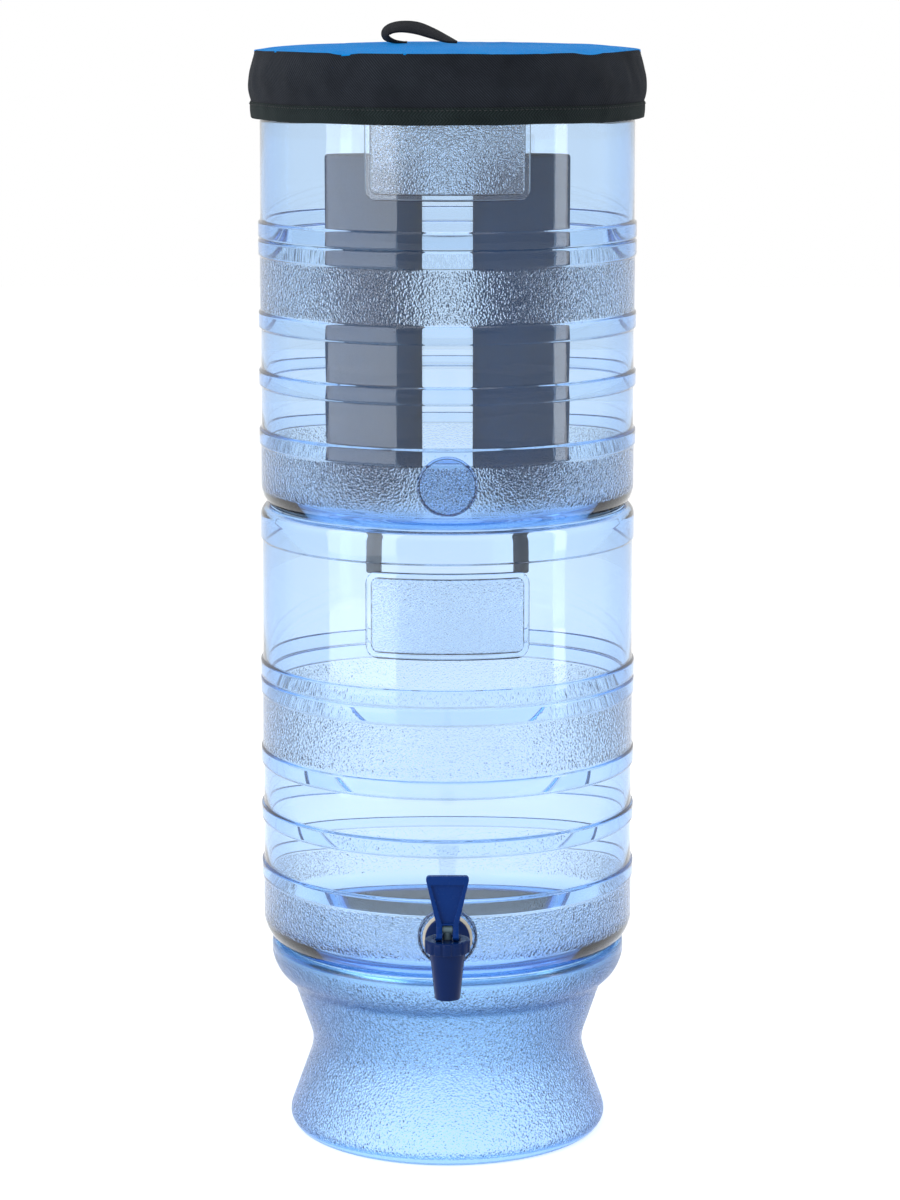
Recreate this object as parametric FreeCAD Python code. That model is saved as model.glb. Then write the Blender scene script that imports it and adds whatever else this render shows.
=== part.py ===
import FreeCAD, Part
import math
import os

from FreeCAD import Vector

# Gravity water filter with a self-closing lever tap, in millimetres.
# Origin: centre of the base's flat foot. +Z is up, and the tap faces -Y.

# Clearances
SEAT_GAP = 0.3        # air left where a round moulding sits on an edge
FABRIC_GAP = 0.4      # soft lid to rigid rim
THREAD_GAP = 0.08     # radial, male to female thread
RUN_GAP = 0.06        # radial, running shaft in its hole
CAM_GAP = 0.15        # lever cam above the bonnet face

# Flat sides that stand for a full round, so that the solids stay light
WIDE_SIDES = 48       # chambers, base and lid
SLIM_SIDES = 32       # filters and tap body
FINE_SIDES = 24       # washers, wing nuts, valve stem and seat cup

# Chamber moulding, used twice
CHAMBER_HEIGHT = 279.8
WALL_R = 116.5        # outside of the plain wall
WALL = 2.6
CORNER_R = 17.5       # rounded corner between wall and foot
CORNER_HIGH = 66.0    # highest flat of that corner, degrees from straight down
INNER_CORNER = 5.25   # slope between the floor and the inside of the wall
FLOOR = 3.0
FOOT_RECESS = 2.2     # floor underside above the foot ring
FOOT_RING = 5.0       # width of the foot ring
RIM_R = 117.5
RIM_BAND = 16.8       # height of the plain band under the rim's shoulder
RIM_SHOULDER = 3.4    # bevel at the rim's outer edge
RIM_LIP_R = 111.2     # inner edge of the rim, where the next chamber sits
HOOP_SLANT = 1.0
HOOP_PROUD = 1.5
BAND_PROUD = 0.4      # grained bands stand this far out of the plain wall
HOOP_LOW = (42.3, 11.0)        # bottom and height of each hoop
HOOP_SECOND = (79.3, 11.0)
HOOP_THIRD = (115.3, 11.5)
HOOP_PAIR_LOW = (160.3, 11.1)
HOOP_PAIR_HIGH = (171.4, 11.4)
GROOVE_DEPTH = 1.0    # V groove between the pair of hoops

# Bare panel on the front of each chamber
PANEL_WIDTH = 95.0
PANEL_HEIGHT = 46.0
PANEL_TOP = 250.3     # above the foot
PANEL_CORNER = 6.0
PANEL_PROUD = 0.5

# Tap pad, a flat round boss low on the front of each chamber
PAD_R = 18.3
PAD_FACE = 118.9      # distance of its face from the chamber axis
PAD_THICK = 6.2
PAD_Z = 30.9          # above the foot

# Base stand
BASE_HEIGHT = 121.6
BASE_WALL = 3.0
BASE_FOOT_R = 97.0
BASE_LOW_R = 101.4
BASE_LOW_Z = 8.0
WAIST_R = 84.6
WAIST_Z = 54.9
NECK_R = 98.4
NECK_Z = 96.5
CUP_R = 112.0
CUP_Z = 115.5
CUP_BULGE = 2.3       # how far the cup's side swells out of its chord
BASE_EDGE = 1.5       # bevel at the foot's outer edge
BASE_LIP_R = 106.0    # inner edge of the top, where the chamber sits

# Filter elements
ELEMENT_R = 30.3
ELEMENT_OFFSET = 46.1  # centre to chamber axis
ELEMENT_LENGTH = 207.0
ELEMENT_EDGE = 2.5
ELEMENT_BEVEL = 0.75  # first bevel of the top edge, at both its ends
CAP_RIM = 3.0
CAP_TAPER = 8.0
CAP_NOSE_R = 14.5
STEM_R = 4.9
STEM_BELOW = 38.2     # below the floor's underside
STEM_CHAMFER = 0.8
WASHER_R = 12.0
WASHER_T = 2.0
NUT_HUB_R = 7.6
NUT_HUB_H = 9.0
NUT_WING_SPAN = 33.0
NUT_WING_T = 3.4
NUT_WING_H = 12.5
NUT_WING_ROOT_R = 5.3  # where the wings start inside the hub
NUT_WING_DROP = 1.2    # wing's root below the floor
NUT_WING_TIP_DROP = 5.0

# Tap
TAP_REACH = 42.0      # pad face to the valve's axis
OUTER_WASHER_R = 15.2
OUTER_WASHER_T = 2.5
FLANGE_R = 13.6
FLANGE_T = 3.0
SHANK_R = 7.9
SHANK_INSIDE = 13.5   # shank left inside the chamber, past the pad's inner face
SHANK_BORE_R = 4.0
ARM_R = 6.4
ARM_DROP = 3.2        # arm's axis below the shank's axis
BORE_DROP = 2.5       # waterway's axis below the shank's axis
INNER_WASHER_R = 13.5
INNER_WASHER_T = 2.5
LOCK_NUT_R = 14.5     # across corners
LOCK_NUT_T = 8.0
BARREL_R = 11.0
SPOUT_R = 7.6
SPOUT_EDGE = 0.5
SPOUT_BORE_R = 5.2
VALVE_R = 8.0
SEAT_CHAMFER = 1.2
SEAT_HEIGHT = 15.1    # valve seat above the spout's end
SPOUT_LENGTH = 28.9   # spout's end to the bonnet's lower edge
BONNET_R = 13.7
BONNET_H = 7.5
BONNET_TOP_T = 2.5
BONNET_EDGE = 0.9
BONNET_RISE = 10.8    # bonnet face above the shank's axis
FLUTES = 14
FLUTE_DEPTH = 0.5
PLUNGER_R = 2.5
PLUNGER_HEAD_R = 2.7
PLUNGER_HEAD_W = 5.8
PLUNGER_BARB_R = 4.0
PLUNGER_BARB_H = 2.0
CUP_SEAT_R = 6.9
CUP_SEAT_H = 7.0
CUP_SEAT_WALL = 1.6
CUP_SEAT_NOSE = 1.2
CUP_SEAT_SLOPE = 1.0
PIN_R = 1.4
PIN_INSET = 0.3       # pin's ends below the lever's sides

# Lever: a flared paddle on a fork whose feet are cams
LEVER_TOP = 38.2      # above the bonnet's face
LEVER_TOP_W = 26.5
LEVER_WAIST_W = 13.4
LEVER_WAIST_Z = 9.6   # above the bonnet's face
LEVER_T = 6.0
LEVER_TIP_T = 4.6
LEVER_CORNER = 2.0
FORK_SLOT = 6.4
FORK_SLOT_TOP = 3.2   # above the pivot
PIVOT_Z = 5.5         # above the bonnet's face
FORK_BACK = 5.0
HEEL_BEVEL = 2.0
TOE_BEVEL = 0.9
CAM_LIFT = 4.0        # plunger lift for each radian of lever
LEVER_TRAVEL = 50.0   # degrees
CAM_POINTS = 6
PANEL_INSET = 3.3
LEVER_PANEL_TOP = 5.2
LEVER_PANEL_DEPTH = 1.6

# Soft lid, sized from the rim that it fits
ELASTIC_T = 1.2
ELASTIC_H = 6.0
HEM_T = 2.5
HEM_TAPER = 0.3
HEM_H = 10.2
HEM_BOTTOM = 34.0     # below the chamber's rim
ELASTIC_R = RIM_R + FABRIC_GAP
HEM_INNER_R = ELASTIC_R + ELASTIC_T
HEM_R = HEM_INNER_R + HEM_T
SKIRT_T = 1.5
SKIRT_PUFF = 1.7      # widest ring of the skirt, past the hem
SKIRT_MID = 0.42      # height of the widest ring, as a share of the skirt
SKIRT_HIGH = 0.8      # height of the ring above it
SKIRT_HIGH_PUFF = 0.7
FOAM_INSET = 2.0
FOAM_R = RIM_R - FOAM_INSET
FOAM_T = 7.0
TOP_OVERHANG = 1.4
TOP_R = RIM_R + TOP_OVERHANG
TOP_T = 2.2
TOP_CROWN = 1.8       # rise of the middle over the sewn edge
SEAM_ALLOWANCE = 0.6  # the skirt's sewn edge outside the top panel's
LOOP_T = 1.6
LOOP_W = 15.0
LOOP_LEFT = 38.5      # the bend's reach to the left of the lid's centre
LOOP_FOOT_LEFT = 27.0
LOOP_FOOT_RIGHT = 6.0
LOOP_RISE = 9.6
LOOP_FLATS = 18       # straight pieces of its side


def seat_angle(edge_r):
    """Direction from the middle of a chamber's rounded corner to the edge under it, from
    straight down."""
    return math.asin((edge_r - WALL_R - BAND_PROUD + CORNER_R) / (CORNER_R + SEAT_GAP))


def seat_height(edge_r, edge_z):
    """Foot height of a chamber whose rounded corner sits on a round inner edge."""
    return edge_z + (CORNER_R + SEAT_GAP) * math.cos(seat_angle(edge_r)) - CORNER_R


LOWER_Z = seat_height(BASE_LIP_R, BASE_HEIGHT)
UPPER_Z = seat_height(RIM_LIP_R, LOWER_Z + CHAMBER_HEIGHT)
RIM_Z = UPPER_Z + CHAMBER_HEIGHT
PAD_AXIS_Z = LOWER_Z + PAD_Z
TAP_Y = -(PAD_FACE + TAP_REACH)
BONNET_Z = PAD_AXIS_Z + BONNET_RISE
PIVOT = Vector(0, TAP_Y, BONNET_Z + PIVOT_Z)


def turned(points, sides, x=0.0, y=0.0, z=0.0):
    """Solid turned about Z from a closed (r, z) outline, in flat sides. Its corners lie at
    the outline's radii, so pieces with the same number of sides nest."""
    angles = [2 * math.pi * side / sides for side in range(sides)]
    rings = []
    for r, height in points:
        rings.append([Vector(x + r * math.cos(a), y + r * math.sin(a), z + height) for a in angles])
    faces = []
    for index, (r, height) in enumerate(points):
        after = (index + 1) % len(points)
        after_r, after_height = points[after]
        low = rings[index]
        high = rings[after]
        if r == 0 and after_r == 0:
            continue
        if height == after_height:
            rims = [ring for ring, reach in ((low, r), (high, after_r)) if reach > 0]
            wires = [Part.makePolygon(rim + rim[:1]) for rim in rims]
            faces.append(Part.makeFace(wires, "Part::FaceMakerBullseye"))
            continue
        for side in range(sides):
            beside = (side + 1) % sides
            corners = [low[side], low[beside], high[beside], high[side]]
            faces.append(Part.Face(Part.makePolygon(corners + corners[:1])))
    solid = Part.Solid(Part.Shell(faces))
    if solid.Volume < 0:
        solid.reverse()
    return solid


def disc(radius, height, x, y, z):
    return Part.makeCylinder(radius, height, Vector(x, y, z))


def along_y(radius, length, y, z, x=0.0):
    """Cylinder from y towards +Y."""
    return Part.makeCylinder(radius, length, Vector(x, y, z), Vector(0, 1, 0))


def hoop(bottom, height, low_r, high_r):
    """Outline of one raised hoop, from its lower edge to its upper edge."""
    crown = WALL_R + HOOP_PROUD
    return [
        (low_r, bottom),
        (crown, bottom + HOOP_SLANT),
        (crown, bottom + height - HOOP_SLANT),
        (high_r, bottom + height),
    ]


def chamber_shell():
    """Outer wall with its hoops, grained bands, rim, rounded corner and recessed floor."""
    band_r = WALL_R + BAND_PROUD
    foot_r = band_r - CORNER_R
    inner_r = WALL_R - WALL
    shoulder_z = CHAMBER_HEIGHT - RIM_SHOULDER
    rim_low = shoulder_z - RIM_BAND
    top_z = CHAMBER_HEIGHT - WALL
    floor_top = FOOT_RECESS + FLOOR
    groove_r = WALL_R + HOOP_PROUD - GROOVE_DEPTH
    ring_r = foot_r - FOOT_RING
    points = [(0, FOOT_RECESS), (ring_r - FOOT_RECESS, FOOT_RECESS), (ring_r, 0), (foot_r, 0)]
    for turn in (seat_angle(BASE_LIP_R), seat_angle(RIM_LIP_R), math.radians(CORNER_HIGH)):
        points.append((foot_r + CORNER_R * math.sin(turn), CORNER_R - CORNER_R * math.cos(turn)))
    points += [(band_r, CORNER_R)]
    points += hoop(*HOOP_LOW, band_r, WALL_R)
    points += hoop(*HOOP_SECOND, WALL_R, WALL_R)
    points += hoop(*HOOP_THIRD, WALL_R, band_r)
    points += hoop(*HOOP_PAIR_LOW, band_r, groove_r)
    points += hoop(*HOOP_PAIR_HIGH, groove_r, WALL_R)[1:]
    points += [(WALL_R, rim_low - HOOP_SLANT), (RIM_R, rim_low), (RIM_R, shoulder_z)]
    points += [(RIM_R - RIM_SHOULDER, CHAMBER_HEIGHT), (RIM_LIP_R, CHAMBER_HEIGHT), (RIM_LIP_R, top_z)]
    points += [(inner_r, top_z), (inner_r, CORNER_R)]
    points += [(inner_r - INNER_CORNER, floor_top + INNER_CORNER), (foot_r, floor_top), (0, floor_top)]
    return turned(points, WIDE_SIDES)


def rounded_plate(width, height, corner, centre_z, near_y, far_y):
    """Plate in XZ with round corners, from near_y to far_y."""
    half_w = width / 2
    half_h = height / 2
    plate = Part.makeBox(width, far_y - near_y, height, Vector(-half_w, near_y, centre_z - half_h))
    edges = [edge for edge in plate.Edges if abs(edge.tangentAt(edge.FirstParameter).y) > 0.9]
    return plate.makeFillet(corner, edges)


def bare_panel():
    """Slightly raised plate with nothing on it, curved like the wall."""
    centre_z = PANEL_TOP - PANEL_HEIGHT / 2
    inner_r = WALL_R - WALL / 2
    outer_r = WALL_R + PANEL_PROUD
    low = centre_z - PANEL_HEIGHT
    ring = turned([(inner_r, low), (outer_r, low), (outer_r, PANEL_TOP), (inner_r, PANEL_TOP)], WIDE_SIDES)
    plate = rounded_plate(PANEL_WIDTH, PANEL_HEIGHT, PANEL_CORNER, centre_z, -PAD_FACE, -WALL_R / 2)
    return ring.common(plate)


def chamber(foot_z, hole_r=None, stem_holes=()):
    body = chamber_shell()
    body = body.fuse(bare_panel())
    pad = along_y(PAD_R, PAD_THICK, -PAD_FACE, PAD_Z)
    body = body.fuse(pad)
    if hole_r:
        body = body.cut(along_y(hole_r, 2 * PAD_THICK, -PAD_FACE - PAD_THICK / 2, PAD_Z))
    for x in stem_holes:
        body = body.cut(disc(STEM_R + SEAT_GAP, 2 * (FLOOR + FOOT_RECESS), x, 0, -FOOT_RECESS))
    body.translate(Vector(0, 0, foot_z))
    return body


def base_stand():
    """Waisted hollow ring, open at the top and the foot."""
    wall = BASE_WALL
    cup_mid_r = (NECK_R + CUP_R) / 2 + CUP_BULGE
    cup_mid_z = (NECK_Z + CUP_Z) / 2 - CUP_BULGE
    points = [(BASE_FOOT_R - 2 * wall, 0), (BASE_FOOT_R, 0)]
    points += [(BASE_LOW_R - BASE_EDGE, BASE_LOW_Z - 2 * wall), (BASE_LOW_R, BASE_LOW_Z)]
    points += [(WAIST_R, WAIST_Z)]
    points += [(NECK_R, NECK_Z), (cup_mid_r, cup_mid_z), (CUP_R, CUP_Z)]
    points += [(CUP_R, BASE_HEIGHT - wall), (CUP_R - wall, BASE_HEIGHT), (BASE_LIP_R, BASE_HEIGHT)]
    points += [(BASE_LIP_R, BASE_HEIGHT - wall), (CUP_R - wall, BASE_HEIGHT - wall)]
    points += [(CUP_R - wall, CUP_Z), (cup_mid_r - wall, cup_mid_z + wall / 2)]
    points += [(NECK_R - wall, NECK_Z + wall)]
    points += [(WAIST_R - wall, WAIST_Z), (BASE_LOW_R - wall, BASE_LOW_Z)]
    return turned(points, WIDE_SIDES)


def element_heights():
    floor_top = UPPER_Z + FOOT_RECESS + FLOOR
    cap_low = floor_top + WASHER_T
    body_low = cap_low + CAP_TAPER + CAP_RIM
    return floor_top, cap_low, body_low


def filter_element(x):
    """Solid carbon cylinder with a softened top edge."""
    body_low = element_heights()[2]
    edge = ELEMENT_EDGE
    points = [(0, 0), (ELEMENT_R, 0), (ELEMENT_R, ELEMENT_LENGTH - edge)]
    points += [(ELEMENT_R - ELEMENT_BEVEL, ELEMENT_LENGTH - ELEMENT_BEVEL)]
    points += [(ELEMENT_R - edge, ELEMENT_LENGTH), (0, ELEMENT_LENGTH)]
    return turned(points, SLIM_SIDES, x=x, z=body_low)


def filter_end_cap(x):
    """Moulded cap that tapers to a nose, with the outlet stem through the floor."""
    cap_low = element_heights()[1]
    body_low = element_heights()[2]
    tip = UPPER_Z + FOOT_RECESS - STEM_BELOW
    points = [(0, tip), (STEM_R - STEM_CHAMFER, tip), (STEM_R, tip + STEM_CHAMFER)]
    points += [(STEM_R, cap_low), (CAP_NOSE_R, cap_low)]
    points += [(ELEMENT_R, cap_low + CAP_TAPER), (ELEMENT_R, body_low), (0, body_low)]
    return turned(points, SLIM_SIDES, x=x)


def filter_washer(x):
    inner_r = STEM_R + SEAT_GAP
    points = [(inner_r, 0), (WASHER_R, 0), (WASHER_R, WASHER_T), (inner_r, WASHER_T)]
    return turned(points, FINE_SIDES, x=x, z=element_heights()[0])


def wing_nut(x):
    """Hub and two upright wings, screwed up against the floor's underside."""
    top = UPPER_Z + FOOT_RECESS
    low = top - NUT_HUB_H
    nut = turned([(0, low), (NUT_HUB_R, low), (NUT_HUB_R, top), (0, top)], FINE_SIDES, x=x)
    half = NUT_WING_SPAN / 2
    wing = [
        Vector(0, -NUT_WING_ROOT_R, top - NUT_WING_DROP),
        Vector(0, -half, top - NUT_WING_TIP_DROP),
        Vector(0, -half, top - NUT_WING_H),
        Vector(0, -NUT_WING_ROOT_R, low),
    ]
    blade = Part.Face(Part.makePolygon(wing + [wing[0]])).extrude(Vector(NUT_WING_T, 0, 0))
    blade.translate(Vector(x - NUT_WING_T / 2, 0, 0))
    other = blade.mirror(Vector(x, 0, 0), Vector(0, 1, 0))
    nut = nut.fuse([blade, other])
    bore_r = STEM_R + THREAD_GAP
    bore_low = low - NUT_WING_H
    bore = turned([(0, bore_low), (bore_r, bore_low), (bore_r, top), (0, top)], FINE_SIDES, x=x)
    return nut.cut(bore)


def tap_body():
    """One moulding: threaded shank, flange, arm, valve barrel and tapered spout."""
    low = BONNET_Z - BONNET_H - SPOUT_LENGTH
    top = BONNET_Z - BONNET_TOP_T
    seat = low + SEAT_HEIGHT
    points = [(SPOUT_BORE_R, low), (SPOUT_R - SPOUT_EDGE, low), (SPOUT_R, low + SPOUT_EDGE)]
    points += [(BARREL_R, BONNET_Z - BONNET_H), (BARREL_R, top), (VALVE_R, top), (VALVE_R, seat)]
    points += [(SPOUT_BORE_R, seat - SEAT_CHAMFER)]
    barrel = turned(points, SLIM_SIDES, y=TAP_Y)
    flange_y = -(PAD_FACE + OUTER_WASHER_T)
    shank_length = OUTER_WASHER_T + PAD_THICK + SHANK_INSIDE
    body = barrel.fuse(along_y(FLANGE_R, FLANGE_T, flange_y - FLANGE_T, PAD_AXIS_Z))
    body = body.fuse(along_y(SHANK_R, shank_length, flange_y, PAD_AXIS_Z))
    mid_wall_r = (BARREL_R + VALVE_R) / 2
    arm_start = TAP_Y + mid_wall_r
    arm = along_y(ARM_R, flange_y - FLANGE_T / 2 - arm_start, arm_start, PAD_AXIS_Z - ARM_DROP)
    arm = arm.cut(disc(mid_wall_r, 4 * ARM_R, 0, TAP_Y, PAD_AXIS_Z - 3 * ARM_R))
    body = body.fuse(arm)
    waterway = along_y(SHANK_BORE_R, TAP_REACH + 2 * SHANK_INSIDE, TAP_Y, PAD_AXIS_Z - BORE_DROP)
    return body.cut(waterway)


def shank_washer(outer_r, thick, near_y):
    """Flat ring round the shank, from near_y inwards."""
    inner_r = SHANK_R + SEAT_GAP
    ring = turned([(inner_r, 0), (outer_r, 0), (outer_r, thick), (inner_r, thick)], FINE_SIDES)
    ring.rotate(Vector(0, 0, 0), Vector(1, 0, 0), -90)
    ring.translate(Vector(0, near_y, PAD_AXIS_Z))
    return ring


def tap_outer_washer():
    return shank_washer(OUTER_WASHER_R, OUTER_WASHER_T, -PAD_FACE - OUTER_WASHER_T)


def tap_inner_washer():
    return shank_washer(INNER_WASHER_R, INNER_WASHER_T, PAD_THICK - PAD_FACE)


def tap_lock_nut():
    """Hexagon nut on the shank, inside the lower chamber."""
    corners = []
    for side in range(6):
        angle = math.radians(60 * side + 30)
        corners.append(Vector(LOCK_NUT_R * math.cos(angle), 0, LOCK_NUT_R * math.sin(angle)))
    nut = Part.Face(Part.makePolygon(corners + [corners[0]])).extrude(Vector(0, LOCK_NUT_T, 0))
    nut = nut.cut(along_y(SHANK_R + THREAD_GAP, LOCK_NUT_T, 0, 0))
    nut.translate(Vector(0, PAD_THICK + INNER_WASHER_T - PAD_FACE, PAD_AXIS_Z))
    return nut


def tap_bonnet():
    """Screw cap of the valve, with shallow flutes for the fingers and a flat cam face."""
    low = BONNET_Z - BONNET_H
    under = BONNET_Z - BONNET_TOP_T
    shoulder = BONNET_Z - BONNET_EDGE
    inner = BARREL_R + THREAD_GAP
    land_r = BONNET_R - FLUTE_DEPTH
    rim = []
    for number in range(3 * FLUTES):
        reach = BONNET_R if number % 3 else land_r
        angle = 2 * math.pi * number / (3 * FLUTES)
        rim.append(Vector(reach * math.cos(angle), TAP_Y + reach * math.sin(angle), low))
    cap = Part.Face(Part.makePolygon(rim + rim[:1])).extrude(Vector(0, 0, shoulder - low))
    crown = [(0, shoulder), (land_r, shoulder), (BONNET_R - BONNET_EDGE, BONNET_Z), (0, BONNET_Z)]
    cap = cap.fuse(turned(crown, SLIM_SIDES, y=TAP_Y))
    cap = cap.cut(turned([(0, low), (inner, low), (inner, under), (0, under)], SLIM_SIDES, y=TAP_Y))
    return cap.cut(disc(PLUNGER_R + RUN_GAP, BONNET_H, 0, TAP_Y, low))


def tap_plunger_stem():
    """Valve stem: flat-sided eye for the pivot pin, round shank, barb for the seat cup."""
    seat = BONNET_Z - BONNET_H - SPOUT_LENGTH + SEAT_HEIGHT
    barb = seat + SEAT_GAP + CUP_SEAT_NOSE
    points = [(0, barb), (PLUNGER_BARB_R, barb), (PLUNGER_BARB_R, barb + PLUNGER_BARB_H)]
    points += [(PLUNGER_R, barb + PLUNGER_BARB_H), (PLUNGER_R, PIVOT.z), (0, PIVOT.z)]
    stem = turned(points, FINE_SIDES, y=TAP_Y)
    half = PLUNGER_HEAD_W / 2
    eye = Part.makeCylinder(PLUNGER_HEAD_R, PLUNGER_HEAD_W, PIVOT - Vector(half, 0, 0), Vector(1, 0, 0))
    stem = stem.fuse(eye)
    start = PIVOT - Vector(PLUNGER_HEAD_W, 0, 0)
    return stem.cut(Part.makeCylinder(PIN_R, 2 * PLUNGER_HEAD_W, start, Vector(1, 0, 0)))


def tap_seat_cup():
    """Silicone cup snapped over the barb; its rounded nose closes the seat."""
    seat = BONNET_Z - BONNET_H - SPOUT_LENGTH + SEAT_HEIGHT
    low = seat + SEAT_GAP
    pocket = low + CUP_SEAT_NOSE
    top = low + CUP_SEAT_H
    wall = CUP_SEAT_R - CUP_SEAT_WALL
    barb_top = pocket + PLUNGER_BARB_H
    throat = PLUNGER_R + SEAT_GAP
    points = [(0, low), (SPOUT_BORE_R, low), (CUP_SEAT_R, low + CUP_SEAT_NOSE), (CUP_SEAT_R, top)]
    points += [(wall, top), (wall - CUP_SEAT_SLOPE, barb_top + 2 * SEAT_GAP)]
    points += [(throat, barb_top + SEAT_GAP), (throat, barb_top)]
    points += [(PLUNGER_BARB_R, barb_top), (PLUNGER_BARB_R, pocket), (0, pocket)]
    return turned(points, FINE_SIDES, y=TAP_Y)


def tap_pivot_pin():
    length = LEVER_WAIST_W - 2 * PIN_INSET
    start = PIVOT - Vector(length / 2, 0, 0)
    return Part.makeCylinder(PIN_R, length, start, Vector(1, 0, 0))


def cam_point(angle):
    """Point of the cam whose flat follower rises by CAM_LIFT for each radian, from the pivot."""
    height = PIVOT_Z - CAM_GAP + CAM_LIFT * angle
    y = -height * math.sin(angle) - CAM_LIFT * math.cos(angle)
    z = -height * math.cos(angle) + CAM_LIFT * math.sin(angle)
    return Vector(0, PIVOT.y + y, PIVOT.z + z)


def lever_side():
    """Side outline: cam feet, fork and tapering paddle, extruded across the whole width."""
    travel = math.radians(LEVER_TRAVEL)
    cam = [cam_point(travel * step / (CAM_POINTS - 1)) for step in range(CAM_POINTS)]
    top_z = BONNET_Z + LEVER_TOP
    front = PIVOT.y - LEVER_T / 2
    back = PIVOT.y + LEVER_T / 2
    heel = Vector(0, PIVOT.y + FORK_BACK - HEEL_BEVEL, cam[0].z)
    heel_up = Vector(0, PIVOT.y + FORK_BACK, cam[0].z + HEEL_BEVEL)
    curve = Part.BSplineCurve()
    curve.interpolate(cam)
    toe = cam[-1]
    outline = [
        toe,
        Vector(0, toe.y + TOE_BEVEL, toe.z + HEEL_BEVEL),
        Vector(0, front, PIVOT.z + PIN_R + TOE_BEVEL),
        Vector(0, front, BONNET_Z + LEVER_WAIST_Z),
        Vector(0, PIVOT.y - LEVER_TIP_T / 2, top_z),
        Vector(0, PIVOT.y + LEVER_TIP_T / 2, top_z),
        Vector(0, back, BONNET_Z + LEVER_WAIST_Z),
        Vector(0, PIVOT.y + FORK_BACK, PIVOT.z + PIN_R),
        heel_up,
        heel,
        cam[0],
    ]
    edges = [Part.makeLine(a, b) for a, b in zip(outline, outline[1:])]
    face = Part.Face(Part.Wire([curve.toShape()] + edges))
    solid = face.extrude(Vector(LEVER_TOP_W + 2, 0, 0))
    solid.translate(Vector(-LEVER_TOP_W / 2 - 1, 0, 0))
    return solid


def lever_front(inset, top_drop, near_y, far_y, foot):
    """Flared front outline, held in from the edge by inset."""
    half_top = LEVER_TOP_W / 2 - inset
    half_waist = LEVER_WAIST_W / 2 - inset
    top_z = BONNET_Z + LEVER_TOP - top_drop
    waist_z = BONNET_Z + LEVER_WAIST_Z
    corners = [
        Vector(-half_top, near_y, top_z),
        Vector(half_top, near_y, top_z),
        Vector(half_waist, near_y, waist_z),
    ]
    if foot:
        corners += [Vector(half_waist, near_y, foot), Vector(-half_waist, near_y, foot)]
    corners += [Vector(-half_waist, near_y, waist_z)]
    face = Part.Face(Part.makePolygon(corners + [corners[0]]))
    return face.extrude(Vector(0, far_y - near_y, 0))


def tap_lever():
    """Paddle and fork: the side outline cut to the front outline, with its panel and slot."""
    near = PIVOT.y - LEVER_TOP_W
    far = PIVOT.y + LEVER_TOP_W
    below = PIVOT.z - 2 * PIVOT_Z
    outline = lever_front(0, 0, near, far, below)
    top_corners = []
    for edge in outline.Edges:
        across = abs(edge.tangentAt(edge.FirstParameter).y) > 0.9
        if across and edge.Vertexes[0].Z > BONNET_Z + LEVER_TOP - 1:
            top_corners.append(edge)
    outline = outline.makeFillet(LEVER_CORNER, top_corners)
    lever = lever_side().common(outline)
    panel_back = PIVOT.y - LEVER_TIP_T / 2 + LEVER_PANEL_DEPTH
    recess = lever_front(PANEL_INSET, LEVER_PANEL_TOP, near, panel_back, None)
    lever = lever.cut(recess)
    slot_height = PIVOT.z + FORK_SLOT_TOP - below
    slot = Part.makeBox(FORK_SLOT, far - near, slot_height, Vector(-FORK_SLOT / 2, near, below))
    lever = lever.cut(slot)
    hole = Part.makeCylinder(PIN_R + RUN_GAP, 2 * LEVER_WAIST_W, PIVOT - Vector(LEVER_WAIST_W, 0, 0), Vector(1, 0, 0))
    return lever.cut(hole)


def lid_heights():
    foam_low = RIM_Z + SEAT_GAP
    foam_top = foam_low + FOAM_T
    hem_low = RIM_Z - HEM_BOTTOM
    return foam_low, foam_top, hem_low


def lid_foam_insert():
    low = lid_heights()[0]
    top = lid_heights()[1]
    return turned([(0, low), (FOAM_R, low), (FOAM_R, top), (0, top)], WIDE_SIDES)


def lid_top_panel():
    """Coated cloth disc, crowned a little and sewn to the skirt round its edge."""
    low = lid_heights()[1]
    top = low + TOP_T + TOP_CROWN
    points = [(0, low), (TOP_R, low), (TOP_R - TOP_T, low + TOP_T)]
    points += [(TOP_R / 2, top), (0, top)]
    return turned(points, WIDE_SIDES)


def lid_skirt():
    """Puffed cloth band between the top panel's seam and the hem."""
    top = lid_heights()[1]
    low = lid_heights()[2] + HEM_H
    mid = low + SKIRT_MID * (top - low)
    high = low + SKIRT_HIGH * (top - low)
    outer = [(HEM_R, low), (HEM_R + SKIRT_PUFF, mid), (HEM_R + SKIRT_HIGH_PUFF, high)]
    outer += [(TOP_R + SEAM_ALLOWANCE, top)]
    inner = [(r - SKIRT_T, height) for r, height in reversed(outer)]
    return turned(outer + inner, WIDE_SIDES)


def lid_hem_binding():
    low = lid_heights()[2]
    top = low + HEM_H
    points = [(HEM_INNER_R, low), (HEM_R - HEM_TAPER, low), (HEM_R, top), (HEM_INNER_R, top)]
    return turned(points, WIDE_SIDES)


def lid_elastic():
    low = lid_heights()[2] + (HEM_H - ELASTIC_H) / 2
    top = low + ELASTIC_H
    points = [(ELASTIC_R, low), (HEM_INNER_R, low), (HEM_INNER_R, top), (ELASTIC_R, top)]
    return turned(points, WIDE_SIDES)


def beside(line, distance):
    """Points a set distance to one side of a line in XZ."""
    moved = []
    for index, point in enumerate(line):
        before = line[max(index - 1, 0)]
        after = line[min(index + 1, len(line) - 1)]
        along = (after - before).normalize()
        moved.append(point + Vector(-along.z * distance, 0, along.x * distance))
    return moved


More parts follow.
